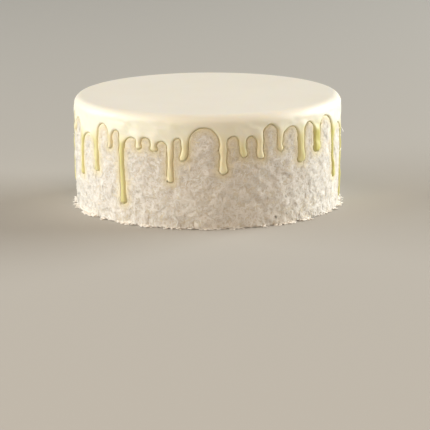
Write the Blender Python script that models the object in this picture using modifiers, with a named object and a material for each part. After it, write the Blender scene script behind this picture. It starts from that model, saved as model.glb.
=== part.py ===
"""A round uncut layer cake: a core coated in shredded coconut, under a poured glaze that runs down its side.

Metres, +Z up. The origin is the middle of the cake's foot, on the surface that it stands on, and -Y is the
shown side. A bearing is an angle about +Z, zero at the shown side and growing towards +X. A depth is the
distance down from the top of the glaze, measured along its surface once past the rim.
"""

import math
import random

import bmesh
import bpy
import numpy as np
from mathutils import Matrix, Vector

MM = 0.001

# The whole cake
CAKE_HEIGHT = 84 * MM
BAND_RADIUS = 101.3 * MM
FOOT_TUCK = 1.2 * MM
TUCK_HEIGHT = 50 * MM

# The glaze
GLAZE_THICKNESS = 2.0 * MM
RIM_ROUNDING = 7.0 * MM
EDGE_ROUNDING = 1.8 * MM
RUN_THICKNESS = 2.2 * MM
TIP_THICKNESS = 2.6 * MM
RUNS_THICKEN = 14 * MM
DROP_LENGTH = 21 * MM
WAIST = 0.1
DROP_POWER = 4
ARCH_STEEPNESS = 1.15
ARCH_SHARE_OF_RUN = 0.5
CLEARANCE = 0.45 * MM
GLAZE_COLOUR, GLAZE_ROUGHNESS = (0.87, 0.79, 0.59), 0.28

# Each run of glaze on the shown side: its bearing, how deep its tip hangs, its width, how much wider its drop is
# and how far its tip leans to the right, then the bearing and depth of the arch that follows it. The first arch
# closes the list from the left.
FIRST_ARCH = (-84.5, 12.5)
FRONT_RUNS = (
    (-79.0, 25, 5.4, 1.05, 0.0, -73.6, 14),
    (-67.4, 55, 4.4, 1.15, -1.0, -60.8, 22),
    (-54.6, 49, 5.4, 1.12, 1.5, -49.6, 12.3),
    (-44.8, 30, 4.6, 1.10, 0.0, -41.6, 15.3),
    (-38.6, 69, 5.0, 1.15, 1.0, -33.6, 19),
    (-29.8, 27, 5.2, 1.10, 0.0, -26.4, 18),
    (-22.9, 28, 5.6, 1.15, 0.5, -19.3, 20),
    (-15.6, 50, 5.0, 1.12, 0.0, -12.4, 17),
    (-9.3, 34, 6.0, 1.00, -1.5, -1.2, 9.2),
    (6.2, 43.5, 5.8, 1.12, 0.0, 10.8, 15.5),
    (14.5, 31.5, 5.6, 1.10, 0.5, 18.0, 16),
    (22.0, 33.6, 6.0, 1.05, 0.0, 26.9, 9.0),
    (31.4, 29.6, 4.6, 1.10, 0.0, 37.2, 12.3),
    (42.6, 40, 7.0, 1.05, 0.0, 47.4, 10.6),
    (52.8, 35, 8.4, 1.08, 0.0, 59.2, 9.4),
    (67.0, 59, 4.6, 1.60, 4.0, 75.0, 19),
    (82.0, 79, 5.0, 1.10, 1.5, 88.5, 14),
)

# The runs out of sight follow a rule
BACK_RUN_COUNT = 19
BACK_SEED = 41
BACK_TIP_DEPTHS = (24, 74)
BACK_WIDTHS = (4.6, 7.0)
BACK_SWELLS = (1.0, 1.35)
BACK_LEANS = (-2.0, 2.0)
BACK_ARCH_DEPTHS = (9.5, 20)
BACK_PITCH_SCATTER = 0.16
BACK_BEARING_SCATTER = 0.6
FEWER_LONG_RUNS = 1.4

# The coconut
COAT_SEED = 7
COAT_LIFT = 2.2 * MM
COAT_DIP = 0.7 * MM
LIFT_STARTS = 4 * MM
LIFT_FULL = 9 * MM
JITTER = 0.3
WALL_SHREDS = 82
FOOT_SHREDS = 40
SHRED_LENGTHS = (6.0, 10.0)
SHRED_WIDTHS = (1.6, 2.3)
SHRED_BENDS = (0.3, 0.7, 1.1)
SHRED_THICKNESS = 1.8 * MM
SHRED_SIDES, SHRED_RINGS = 4, 3
PROUD_SHARE = 0.6
GLAZE_MARGIN = 1.2 * MM
CLEAR_OF_RIM, CLEAR_OF_FOOT = 12 * MM, 5 * MM
FOOT_SCATTER = 0.3
FOOT_TURN = 1.2
FOOT_REACH = (-1.0, 0.6)
FOOT_LIFT = 0.55 * SHRED_THICKNESS
COCONUT_COLOUR, COCONUT_ROUGHNESS = (0.93, 0.90, 0.82), 0.7

# How finely the solids are faceted
ACROSS_RUN = (-1.0, -0.6, 0.0, 0.6, 1.0)
ACROSS_BACK = (-1.0, 0.0, 1.0)
ARCH_STEPS = 4
LENGTH_STEPS = 2
TIP_STEPS = 3
BAND_STEPS = (0.0, 0.55, 0.85, 1.0)
RIM_STEPS = 4
BACK_RIM_STEPS = 3
CORE_STEPS = 108
CORE_ROWS = 13
WELD = 0.004 * MM
SHARP_ANGLE = math.radians(50)

RIM_CENTRE_RADIUS = BAND_RADIUS - RIM_ROUNDING
RIM_CENTRE_HEIGHT = CAKE_HEIGHT - RIM_ROUNDING
GLAZE_BACK_ROUNDING = RIM_ROUNDING - GLAZE_THICKNESS
CORE_ROUNDING = GLAZE_BACK_ROUNDING - CLEARANCE


def clear_scene():
    for obj in list(bpy.data.objects):
        bpy.data.objects.remove(obj, do_unlink=True)


def food(name, colour, roughness):
    """A plain material for one part of the cake."""
    material = bpy.data.materials.new(name)
    material.use_nodes = True
    shader = material.node_tree.nodes["Principled BSDF"]
    shader.inputs["Base Color"].default_value = (*colour, 1.0)
    shader.inputs["Roughness"].default_value = roughness
    shader.inputs["Metallic"].default_value = 0.0
    return material


def runs_of_glaze():
    """All runs in order of bearing: bearing, tip depth, half width, drop, lean and the arch on either side."""
    chance = random.Random(BACK_SEED)
    rows = list(FRONT_RUNS)
    start = FRONT_RUNS[-1][-2]
    pitch = (FIRST_ARCH[0] + 360 - start) / BACK_RUN_COUNT
    left = start
    for k in range(1, BACK_RUN_COUNT + 1):
        last = k == BACK_RUN_COUNT
        scatter = chance.uniform(-BACK_PITCH_SCATTER, BACK_PITCH_SCATTER) if not last else 0
        right = FIRST_ARCH[0] + 360 if last else start + pitch * (k + scatter)
        arch_depth = FIRST_ARCH[1] if last else chance.uniform(*BACK_ARCH_DEPTHS)
        bearing = (left + right) / 2 + chance.uniform(-BACK_BEARING_SCATTER, BACK_BEARING_SCATTER)
        share = chance.random() ** FEWER_LONG_RUNS
        tip = BACK_TIP_DEPTHS[0] + (BACK_TIP_DEPTHS[1] - BACK_TIP_DEPTHS[0]) * share
        width, swell, lean = (chance.uniform(*r) for r in (BACK_WIDTHS, BACK_SWELLS, BACK_LEANS))
        rows.append([bearing, tip, width, swell, lean, right, arch_depth])
        left = right
    runs = []
    arch = FIRST_ARCH
    for bearing, tip, width, swell, lean, arch_bearing, arch_depth in rows:
        following = (arch_bearing, arch_depth)
        runs.append(
            {
                "bearing": math.radians(bearing),
                "tip": tip * MM,
                "half": width * MM / 2 / BAND_RADIUS,
                "swell": swell,
                "lean": lean * MM / BAND_RADIUS,
                "arches": [(math.radians(b), d * MM) for b, d in (arch, following)],
            }
        )
        arch = following
    return runs


def run_side(run, side):
    """One edge of a run, from the top of its arch to its tip, as rows of (bearing, depth).

    The arch is a quarter ellipse that leaves its top level and ends upright. The edge then follows the run,
    a little waisted, widens to its drop and ends in a quarter circle. On the way down the run leans over, by
    the square of the way it has come."""
    top_bearing, top_depth = run["arches"][side]
    sign = 2 * side - 1
    half = run["half"]
    tip_half = half * run["swell"]
    tip_height = tip_half * BAND_RADIUS
    reach = abs(top_bearing - run["bearing"]) - half
    arch_height = min(
        ARCH_STEEPNESS * reach * BAND_RADIUS, ARCH_SHARE_OF_RUN * (run["tip"] - tip_height - top_depth)
    )
    start = top_depth + arch_height
    end = run["tip"] - tip_height
    rows = []
    for k in range(ARCH_STEPS):
        turn = math.pi / 2 * k / ARCH_STEPS
        offset = half + reach * (1 - math.sin(turn))
        rows.append((offset, top_depth + arch_height * (1 - math.cos(turn))))
    for k in range(LENGTH_STEPS):
        share = k / LENGTH_STEPS
        width = half * (1 - WAIST * math.sin(math.pi * share) + (run["swell"] - 1) * share**DROP_POWER)
        rows.append((width, start + (end - start) * share))
    for k in range(TIP_STEPS + 1):
        turn = math.pi / 2 * k / TIP_STEPS
        rows.append((tip_half * math.cos(turn), end + tip_height * math.sin(turn)))
    offset, depth = np.array(rows).T
    way = np.clip((depth - start) / (run["tip"] - start), 0, 1)
    return np.stack([run["bearing"] + run["lean"] * way**2 + sign * offset, depth], axis=-1)


def glaze_outline(runs):
    """The glaze's whole lower edge as one open row of (bearing, depth), from the first arch right round."""
    pieces = [np.concatenate([run_side(run, 0), run_side(run, 1)[-2::-1]]) for run in runs]
    return np.concatenate([piece[:-1] for piece in pieces] + [pieces[-1][-1:]])


def unrolled(points):
    """Bearing and depth as flat distances, both in metres."""
    return np.asarray(points, float) * np.array([BAND_RADIUS, 1.0])


def distance_to_edge(points, outline):
    """The flat distance from each point to the nearest stretch of the outline, all round the cake."""
    turn = np.array([2 * math.pi, 0.0])
    row = unrolled(np.concatenate([outline[:-1] - turn, outline[:-1], outline + turn]))
    start, run = row[:-1], row[1:] - row[:-1]
    length = np.maximum((run**2).sum(axis=1), 1e-18)
    flat = unrolled(points).reshape(-1, 1, 2)
    share = np.clip(((flat - start) * run).sum(axis=2) / length, 0, 1)
    near = start + share[..., None] * run
    return np.sqrt(((flat - near) ** 2).sum(axis=2)).min(axis=1)


def under_glaze(points, outline):
    """True for each point whose way straight down crosses the outline an odd number of times."""
    first = outline[0, 0]
    bearing = first + np.mod(points[:, 0] - first, 2 * math.pi)
    left, right = outline[:-1], outline[1:]
    spans = (left[:, 0] > bearing[:, None]) != (right[:, 0] > bearing[:, None])
    width = np.where(right[:, 0] == left[:, 0], 1e-12, right[:, 0] - left[:, 0])
    share = (bearing[:, None] - left[:, 0]) / width
    depth = left[:, 1] + share * (right[:, 1] - left[:, 1])
    return (spans & (depth > points[:, 1][:, None])).sum(axis=1) % 2 == 1


def wall(bearing, height, rounding):
    """Points of the upright side that lies a given rounding outside the rim's centre line."""
    low = np.clip(1 - height / TUCK_HEIGHT, 0, 1)
    radius = RIM_CENTRE_RADIUS + rounding - FOOT_TUCK * low**2
    return np.stack([radius * np.sin(bearing), -radius * np.cos(bearing), height + 0 * bearing], axis=-1)


def on_surface(points, rounding):
    """Points at (bearing, depth), on the skin that lies a given rounding outside the rim's centre line.

    Below the rim the skin is the upright side. Above it, the depth gives the angle round the rim."""
    bearing, depth = points[..., 0], points[..., 1]
    upright = wall(bearing, CAKE_HEIGHT - np.maximum(depth, RIM_ROUNDING), rounding)
    turn = np.clip((RIM_ROUNDING - depth) / RIM_ROUNDING, 0, math.pi / 2)
    radius = RIM_CENTRE_RADIUS + rounding * np.cos(turn)
    height = RIM_CENTRE_HEIGHT + rounding * np.sin(turn)
    rounded = np.stack([radius * np.sin(bearing), -radius * np.cos(bearing), height], axis=-1)
    return np.where((depth < RIM_ROUNDING)[..., None], rounded, upright)


def run_grid(run, across):
    """The (bearing, depth) grid of one run: each row goes straight from its left edge to its right edge."""
    left, right = run_side(run, 0)[:, None, :], run_side(run, 1)[:, None, :]
    share = (np.array(across)[None, :, None] + 1) / 2
    return left * (1 - share) + right * share


def band_grid(run, across, rows):
    """The grid over one run, from the foot of the rim down to the line between its two arches."""
    low = run_grid(run, across)[0]
    top = np.stack([low[:, 0], np.full(len(low), RIM_ROUNDING)], axis=-1)
    share = np.array(rows)[:, None, None]
    return top * (1 - share) + low * share


def rim_grid(run, across, steps):
    """The grid round the rim over one run, from the flat top to the foot of the rim."""
    low = run_grid(run, across)[0, :, 0]
    depth = RIM_ROUNDING * (1 - math.pi / 2 * (1 - np.arange(steps + 1) / steps))
    return np.stack(np.broadcast_arrays(low[None, :], depth[:, None]), axis=-1)


def glaze_front(points, outline, runs):
    """The glaze's outer skin: its back, lifted by a thickness that rounds off to nothing at the edge."""
    flat = points.reshape(-1, 2)
    depth = flat[:, 1]
    tips = np.array([run["tip"] for run in runs])
    bearings = np.array([run["bearing"] for run in runs])
    around = np.mod(flat[:, :1] - bearings + math.pi, 2 * math.pi) - math.pi
    tip = tips[np.abs(around).argmin(axis=1)]
    below = np.clip((depth - RUNS_THICKEN) / RIM_ROUNDING, 0, 1)
    swell = np.clip(1 - (tip - depth) / DROP_LENGTH, 0, 1)
    full = GLAZE_THICKNESS + (RUN_THICKNESS - GLAZE_THICKNESS) * below
    full = full + (TIP_THICKNESS - RUN_THICKNESS) * swell * below
    away = np.clip(distance_to_edge(flat, outline) / EDGE_ROUNDING, 0, 1)
    thickness = full * np.sqrt(1 - (1 - away) ** 2)
    back = on_surface(flat, GLAZE_BACK_ROUNDING)
    front = on_surface(flat, RIM_ROUNDING)
    share = (thickness / GLAZE_THICKNESS)[:, None]
    return (back + (front - back) * share).reshape(*points.shape[:2], 3)


def add_grid(bm, points):
    """Quads between the rows of a grid of points."""
    rows = [[bm.verts.new(point) for point in row] for row in points]
    for above, below in zip(rows, rows[1:]):
        for k in range(len(above) - 1):
            bm.faces.new((above[k], above[k + 1], below[k + 1], below[k]))


def mesh_object(bm, name, material, collection):
    mesh = bpy.data.meshes.new(name)
    bm.to_mesh(mesh)
    bm.free()
    mesh.materials.append(material)
    obj = bpy.data.objects.new(name, mesh)
    collection.objects.link(obj)
    return obj


def close_mesh(bm):
    """Welds the grids where they meet, caps the flat top on both skins and turns the faces outwards."""
    bmesh.ops.remove_doubles(bm, verts=bm.verts, dist=WELD)
    bmesh.ops.holes_fill(bm, edges=bm.edges, sides=0)
    bmesh.ops.recalc_face_normals(bm, faces=bm.faces)


def make_glaze(runs, outline, collection):
    """The poured glaze: a thin sheet over the top and the rim, ending below in arches and hanging runs."""
    bm = bmesh.new()
    for run in runs:
        for grid in (
            rim_grid(run, ACROSS_RUN, RIM_STEPS),
            band_grid(run, ACROSS_RUN, BAND_STEPS),
            run_grid(run, ACROSS_RUN),
        ):
            add_grid(bm, glaze_front(grid, outline, runs))
        for grid in (
            rim_grid(run, ACROSS_BACK, BACK_RIM_STEPS),
            band_grid(run, ACROSS_BACK, (0.0, 1.0)),
            run_grid(run, ACROSS_BACK),
        ):
            add_grid(bm, on_surface(grid, GLAZE_BACK_ROUNDING))
    close_mesh(bm)
    glaze = mesh_object(bm, "glaze", food("ivory_glaze", GLAZE_COLOUR, GLAZE_ROUGHNESS), collection)
    glaze.data.set_sharp_from_angle(angle=SHARP_ANGLE)
    return glaze


def make_core(collection):
    """The cake under its coconut: a turned profile, round at the top edge, with a foot that tucks in."""
    profile = [(0.0, RIM_CENTRE_HEIGHT + CORE_ROUNDING)]
    for k in range(BACK_RIM_STEPS):
        turn = math.pi / 2 * (1 - k / BACK_RIM_STEPS)
        radius = RIM_CENTRE_RADIUS + CORE_ROUNDING * math.cos(turn)
        profile.append((radius, RIM_CENTRE_HEIGHT + CORE_ROUNDING * math.sin(turn)))
    for height in np.linspace(RIM_CENTRE_HEIGHT, 0, CORE_ROWS + 1):
        spot = wall(np.array(0.0), height, CORE_ROUNDING)
        profile.append((-spot[1], height))
    profile.append((0.0, 0.0))
    bm = bmesh.new()
    verts = [bm.verts.new((radius, 0.0, height)) for radius, height in profile]
    for above, below in zip(verts, verts[1:]):
        bm.edges.new((above, below))
    core = mesh_object(bm, "core", food("coconut", COCONUT_COLOUR, COCONUT_ROUGHNESS), collection)
    screw = core.modifiers.new("turn", "SCREW")
    screw.steps = screw.render_steps = CORE_STEPS
    screw.use_merge_vertices = True
    screw.merge_threshold = WELD
    return core


def lift(points, outline):
    """How far the coconut may stand out: nothing under the glaze or close to it, all of it well away."""
    away = (distance_to_edge(points, outline) - LIFT_STARTS) / (LIFT_FULL - LIFT_STARTS)
    return np.where(under_glaze(points, outline), 0, COAT_LIFT * np.clip(away, 0, 1) ** 2)


def roughen(mesh, outline):
    """Moves the points of the upright side about, so that it is as lumpy as a coat of shreds."""
    chance = np.random.default_rng(COAT_SEED)
    upright = RIM_CENTRE_HEIGHT - MM
    side = [vert for vert in mesh.vertices if vert.co.z < upright and vert.co.xy.length > BAND_RADIUS / 2]
    spots = np.array([vert.co for vert in side])
    bearing = np.arctan2(spots[:, 0], -spots[:, 1])
    height = spots[:, 2]
    inner = height > MM
    bearing = bearing + inner * chance.uniform(-JITTER, JITTER, len(side)) * 2 * math.pi / CORE_STEPS
    height = height + inner * chance.uniform(-JITTER, JITTER, len(side)) * RIM_CENTRE_HEIGHT / CORE_ROWS
    points = np.stack([bearing, CAKE_HEIGHT - height], axis=-1)
    out = lift(points, outline) * chance.random(len(side)) - COAT_DIP * chance.random(len(side))
    level = wall(bearing, height, CORE_ROUNDING)
    radial = np.stack([np.sin(bearing), -np.cos(bearing), 0 * bearing], axis=-1)
    for vert, spot in zip(side, level + out[:, None] * radial):
        vert.co = spot


def shred_mesh(bend):
    """One shred of coconut, a metre long and wide: a spindle with four sides, bent sideways."""
    bm = bmesh.new()
    bmesh.ops.create_uvsphere(bm, u_segments=SHRED_SIDES, v_segments=SHRED_RINGS, radius=0.5)
    bmesh.ops.rotate(bm, verts=bm.verts, matrix=Matrix.Rotation(math.pi / 2, 3, "Y"))
    for vert in bm.verts:
        vert.co.y += bend * (4 * vert.co.x**2 - 0.5)
    mesh = bpy.data.meshes.new("shred")
    bm.to_mesh(mesh)
    bm.free()
    return mesh


def shred_at(mesh, point, along, outwards, size, collection):
    """A shred centred at a point, lying along one direction with its thickness pointing outwards."""
    obj = bpy.data.objects.new("shred", mesh)
    across = outwards.cross(along)
    turn = Matrix((along, across, outwards)).transposed().to_4x4()
    obj.matrix_world = Matrix.Translation(point) @ turn @ Matrix.Diagonal((*size, 1.0))
    collection.objects.link(obj)


def wall_shreds(outline, meshes, chance, collection):
    """Shreds pressed flat on the side wherever they stay clear of the glaze, in any direction."""
    placed = 0
    while placed < WALL_SHREDS:
        bearing = chance.uniform(0, 2 * math.pi)
        depth = chance.uniform(CLEAR_OF_RIM, CAKE_HEIGHT - CLEAR_OF_FOOT)
        lean = chance.uniform(0, math.pi)
        length = chance.uniform(*SHRED_LENGTHS) * MM
        width = chance.uniform(*SHRED_WIDTHS) * MM
        reach = np.linspace(-0.5, 0.5, 5)[:, None] * length
        ends = np.array([bearing, depth]) + reach * [math.cos(lean) / BAND_RADIUS, -math.sin(lean)]
        clear = distance_to_edge(ends, outline).min() > width + GLAZE_MARGIN
        if not clear or under_glaze(ends, outline).any():
            continue
        proud = PROUD_SHARE * lift(ends, outline).mean()
        spot = wall(np.array(bearing), np.array(CAKE_HEIGHT - depth), CORE_ROUNDING + proud)
        outwards = Vector((math.sin(bearing), -math.cos(bearing), 0.0))
        level = Vector((math.cos(bearing), math.sin(bearing), 0.0))
        along = level * math.cos(lean) + Vector((0, 0, 1)) * math.sin(lean)
        size = (length, width, SHRED_THICKNESS)
        shred_at(chance.choice(meshes), Vector(spot), along, outwards, size, collection)
        placed += 1


def foot_shreds(meshes, chance, collection):
    """Fallen shreds that lie round the foot, each with one end under the side of the cake."""
    pitch = 2 * math.pi / FOOT_SHREDS
    for k in range(FOOT_SHREDS):
        bearing = pitch * (k + chance.uniform(-FOOT_SCATTER, FOOT_SCATTER))
        length = chance.uniform(*SHRED_LENGTHS) * MM
        width = chance.uniform(*SHRED_WIDTHS) * MM
        turned = bearing + chance.uniform(-FOOT_TURN, FOOT_TURN)
        along = Vector((math.sin(turned), -math.cos(turned), 0.0))
        radial = Vector((math.sin(bearing), -math.cos(bearing), 0.0))
        spot = Vector(wall(np.array(bearing), np.array(FOOT_LIFT), CORE_ROUNDING))
        spot += radial * chance.uniform(*FOOT_REACH) * MM
        size = (length, width, SHRED_THICKNESS)
        shred_at(chance.choice(meshes), spot, along, Vector((0, 0, 1)), size, collection)


def keep_largest(mesh):
    """Drops every part of a mesh that isn't joined to its largest one: loose scraps and closed hollows."""
    bm = bmesh.new()
    bm.from_mesh(mesh)
    rest = set(bm.faces)
    parts = []
    while rest:
        part, front = set(), [rest.pop()]
        while front:
            face = front.pop()
            part.add(face)
            near = {other for edge in face.edges for other in edge.link_faces} & rest
            rest -= near
            front.extend(near)
        parts.append(part)
    largest = max(parts, key=len)
    bmesh.ops.delete(bm, geom=[face for face in bm.faces if face not in largest], context="FACES")
    bm.to_mesh(mesh)
    bm.free()


def baked(obj):
    """The mesh of an object with its modifiers applied."""
    bpy.context.view_layer.update()
    return bpy.data.meshes.new_from_object(obj.evaluated_get(bpy.context.evaluated_depsgraph_get()))


def make_cake(outline, collection):
    """The core with its shreds of coconut fused on as one solid."""
    core = make_core(collection)
    core.data = baked(core)
    core.modifiers.clear()
    roughen(core.data, outline)
    shreds = bpy.data.collections.new("shreds")
    bpy.context.scene.collection.children.link(shreds)
    chance = random.Random(COAT_SEED)
    meshes = [shred_mesh(bend) for bend in SHRED_BENDS]
    wall_shreds(outline, meshes, chance, shreds)
    foot_shreds(meshes, chance, shreds)
    union = core.modifiers.new("shreds", "BOOLEAN")
    union.operation = "UNION"
    union.operand_type = "COLLECTION"
    union.collection = shreds
    union.solver = "EXACT"
    core.data = baked(core)
    core.modifiers.clear()
    keep_largest(core.data)
    core.name = core.data.name = "cake_body"
    for obj in list(shreds.objects):
        bpy.data.objects.remove(obj, do_unlink=True)
    bpy.data.collections.remove(shreds)


def main():
    clear_scene()
    collection = bpy.data.collections.new("layer_cake")
    bpy.context.scene.collection.children.link(collection)
    runs = runs_of_glaze()
    outline = glaze_outline(runs)
    make_cake(outline, collection)
    make_glaze(runs, outline, collection)


main()
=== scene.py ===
# %% [markdown]
# # A layer cake in shredded coconut, under a poured glaze
#
# The real cake is a round of baked layers, spread with cream all over. Two things make its outside.
# Shredded coconut is pressed into the cream by hand, so the side is a coat of short white shreds that lie
# every way. A white glaze is then poured on the top while it is warm. It finds its own level, rounds the
# rim, and runs down the coat in arches and drips until it sets.
#
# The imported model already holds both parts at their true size. This file gives them their fine surface:
# it replaces each of the two solids by a finer one, and scatters the shreds one by one.

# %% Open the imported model
import math
import random

import bmesh
import bpy
import numpy as np
from mathutils import Matrix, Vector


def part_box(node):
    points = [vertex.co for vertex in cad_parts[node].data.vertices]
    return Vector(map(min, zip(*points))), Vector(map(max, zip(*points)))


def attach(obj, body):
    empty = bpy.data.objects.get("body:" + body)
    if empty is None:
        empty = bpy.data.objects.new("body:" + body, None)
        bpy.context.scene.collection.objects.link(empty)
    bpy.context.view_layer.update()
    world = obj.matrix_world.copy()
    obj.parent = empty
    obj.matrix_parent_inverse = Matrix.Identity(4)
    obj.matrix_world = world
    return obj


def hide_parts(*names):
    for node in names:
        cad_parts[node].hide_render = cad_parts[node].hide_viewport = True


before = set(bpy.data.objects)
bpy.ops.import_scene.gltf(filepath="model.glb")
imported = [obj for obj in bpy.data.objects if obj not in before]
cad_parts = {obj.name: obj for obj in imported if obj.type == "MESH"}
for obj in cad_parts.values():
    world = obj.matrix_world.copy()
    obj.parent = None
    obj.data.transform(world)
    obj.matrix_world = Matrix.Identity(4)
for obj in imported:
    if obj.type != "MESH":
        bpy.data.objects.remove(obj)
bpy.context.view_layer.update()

# %% [markdown]
# ## The sizes that everything follows
#
# A point on the cake is named by two numbers, as on a label wrapped round a tin. Its bearing is the angle
# round the cake, zero at the shown side. Its depth is the way down from the top, measured along the glaze
# once past the rim. The rim is a quarter circle, so its centre line gives every skin of the cake: a skin
# is all that lies one distance outside that line.

# %% Driving sizes
MM = 0.001
CAKE_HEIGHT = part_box("glaze")[1].z
BAND_RADIUS = 101.3 * MM
RIM_ROUNDING = 7.0 * MM
GLAZE_THICKNESS = 2.0 * MM
EDGE_ROUNDING = 1.8 * MM
RUN_THICKNESS = 2.2 * MM
TIP_THICKNESS = 2.6 * MM
FOOT_TUCK = 1.2 * MM
TUCK_HEIGHT = 50 * MM

RIM_CENTRE_RADIUS = BAND_RADIUS - RIM_ROUNDING
RIM_CENTRE_HEIGHT = CAKE_HEIGHT - RIM_ROUNDING
GLAZE_BACK = RIM_ROUNDING - GLAZE_THICKNESS
TOP_DEPTH = RIM_ROUNDING * (1 - math.pi / 2)
print("cake", round(CAKE_HEIGHT / MM, 1), "mm high, band", round(2 * BAND_RADIUS / MM, 1), "mm across")

# %% [markdown]
# ## Where the glaze ran
#
# Each run is a narrow tongue between two arches. The table below is read off the shown side. It names for
# each run its bearing, the depth of its tip, its width, how much wider its drop is and how far its tip
# leans to the right, then the arch to its right. The back of the cake can't be seen, so its runs follow a
# rule with the same range of lengths, and a fixed seed.

# %% The table of runs
FIRST_ARCH = (-84.5, 12.5)
FRONT_RUNS = (
    (-79.0, 25, 5.4, 1.05, 0.0, -73.6, 14),
    (-67.4, 55, 4.4, 1.15, -1.0, -60.8, 22),
    (-54.6, 49, 5.4, 1.12, 1.5, -49.6, 12.3),
    (-44.8, 30, 4.6, 1.10, 0.0, -41.6, 15.3),
    (-38.6, 69, 5.0, 1.15, 1.0, -33.6, 19),
    (-29.8, 27, 5.2, 1.10, 0.0, -26.4, 18),
    (-22.9, 28, 5.6, 1.15, 0.5, -19.3, 20),
    (-15.6, 50, 5.0, 1.12, 0.0, -12.4, 17),
    (-9.3, 34, 6.0, 1.00, -1.5, -1.2, 9.2),
    (6.2, 43.5, 5.8, 1.12, 0.0, 10.8, 15.5),
    (14.5, 31.5, 5.6, 1.10, 0.5, 18.0, 16),
    (22.0, 33.6, 6.0, 1.05, 0.0, 26.9, 9.0),
    (31.4, 29.6, 4.6, 1.10, 0.0, 37.2, 12.3),
    (42.6, 40, 7.0, 1.05, 0.0, 47.4, 10.6),
    (52.8, 35, 8.4, 1.08, 0.0, 59.2, 9.4),
    (67.0, 59, 4.6, 1.60, 4.0, 75.0, 19),
    (82.0, 79, 5.0, 1.10, 1.5, 88.5, 14),
)
BACK_RUN_COUNT = 19
BACK_SEED = 41
BACK_TIP_DEPTHS = (24, 74)
BACK_WIDTHS = (4.6, 7.0)
BACK_SWELLS = (1.0, 1.35)
BACK_LEANS = (-2.0, 2.0)
BACK_ARCH_DEPTHS = (9.5, 20)
BACK_PITCH_SCATTER = 0.16
BACK_BEARING_SCATTER = 0.6
FEWER_LONG_RUNS = 1.4


def runs_of_glaze():
    """All runs in order of bearing: tip depth, half width, drop, lean and the arch on either side."""
    chance = random.Random(BACK_SEED)
    rows = list(FRONT_RUNS)
    start = left = FRONT_RUNS[-1][-2]
    pitch = (FIRST_ARCH[0] + 360 - start) / BACK_RUN_COUNT
    for k in range(1, BACK_RUN_COUNT + 1):
        last = k == BACK_RUN_COUNT
        scatter = chance.uniform(-BACK_PITCH_SCATTER, BACK_PITCH_SCATTER) if not last else 0
        right = FIRST_ARCH[0] + 360 if last else start + pitch * (k + scatter)
        arch_depth = FIRST_ARCH[1] if last else chance.uniform(*BACK_ARCH_DEPTHS)
        bearing = (left + right) / 2 + chance.uniform(-BACK_BEARING_SCATTER, BACK_BEARING_SCATTER)
        share = chance.random() ** FEWER_LONG_RUNS
        tip = BACK_TIP_DEPTHS[0] + (BACK_TIP_DEPTHS[1] - BACK_TIP_DEPTHS[0]) * share
        width, swell, lean = (chance.uniform(*r) for r in (BACK_WIDTHS, BACK_SWELLS, BACK_LEANS))
        rows.append([bearing, tip, width, swell, lean, right, arch_depth])
        left = right
    runs = []
    arch = FIRST_ARCH
    for bearing, tip, width, swell, lean, arch_bearing, arch_depth in rows:
        following = (arch_bearing, arch_depth)
        runs.append(
            {
                "bearing": math.radians(bearing),
                "tip": tip * MM,
                "half": width * MM / 2 / BAND_RADIUS,
                "swell": swell,
                "lean": lean * MM / BAND_RADIUS,
                "arches": [(math.radians(b), d * MM) for b, d in (arch, following)],
            }
        )
        arch = following
    return runs


RUNS = runs_of_glaze()
print(len(RUNS), "runs, the longest to a depth of", round(max(run["tip"] for run in RUNS) / MM, 1), "mm")

# %% [markdown]
# ## Soft unevenness
#
# Nothing that is spread, pressed or poured by hand is even. One function gives all of it: random values
# on a wrapped lattice, joined smoothly. Its cell is the size of the lump wanted, so a hand's waviness, a
# clump of coconut and a crumb of cream are the same function at 18, 5 and 2 mm.

# %% Smooth random lumps round the cake
LATTICE_HEIGHT = 200 * MM
LAST_CELL = 1.001


def ease(t):
    """From 0 to 1, level at both ends: t^3 (6 t^2 - 15 t + 10)."""
    return t**3 * (t * (6 * t - 15) + 10)


def lumps(bearing, height, cell, seed, slant=0.0):
    """Values from -1 to 1 on a lattice of `cell` metres, eased from each of its points to the next.

    A slant leans the lattice by that share of the height, so that two of them crossed show no upright
    lines."""
    bearing = bearing + slant * height / BAND_RADIUS
    columns = max(3, round(2 * math.pi * BAND_RADIUS / cell))
    rows = int(LATTICE_HEIGHT / cell) + 3
    lattice = np.random.default_rng(seed).uniform(-1, 1, (rows, columns))
    x = np.mod(bearing / (2 * math.pi), 1) * columns
    y = np.clip(height / cell + 1, 0, rows - LAST_CELL)
    x0, y0 = np.floor(x).astype(int), np.floor(y).astype(int)
    fx, fy = ease(x - x0), ease(y - y0)
    x0, x1 = x0 % columns, (x0 + 1) % columns
    low = lattice[y0, x0] * (1 - fx) + lattice[y0, x1] * fx
    high = lattice[y0 + 1, x0] * (1 - fx) + lattice[y0 + 1, x1] * fx
    return low * (1 - fy) + high * fy


# %% [markdown]
# ## The lower edge of the glaze
#
# Surface tension shapes this edge. Between two runs it hangs as an arch, a quarter ellipse on either side
# that is level at its top and upright at its foot. A run is a little waisted below it, and ends in a
# round drop that is wider, because the glaze gathers there before it sets. No run is quite straight: it
# wanders half a millimetre, and leans where the coat turned it aside. The lumps of the coat also make the
# edge a little ragged, from the lower end of the rim on.

# %% One side of one run
LEVEL_STEP, LENGTH_STEPS, TIP_STEPS = 0.3 * MM, 16, 8
ARCH_STEEPNESS, ARCH_SHARE_OF_RUN = 1.15, 0.5
WAIST, DROP_POWER = 0.1, 4
WANDER, WIDTH_CHANGE = 0.5 * MM, 0.07
WANDER_RATE, WANDER_PHASE = 5, 40
WIDTH_RATE, WIDTH_PHASE = 9, 60
RAGGED, RAGGED_CELL, RAGGED_SEEDS = 0.45 * MM, 4.5 * MM, (9, 10)
RAGGED_START, RAGGED_FADE = 5 * MM, 4 * MM


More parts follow.
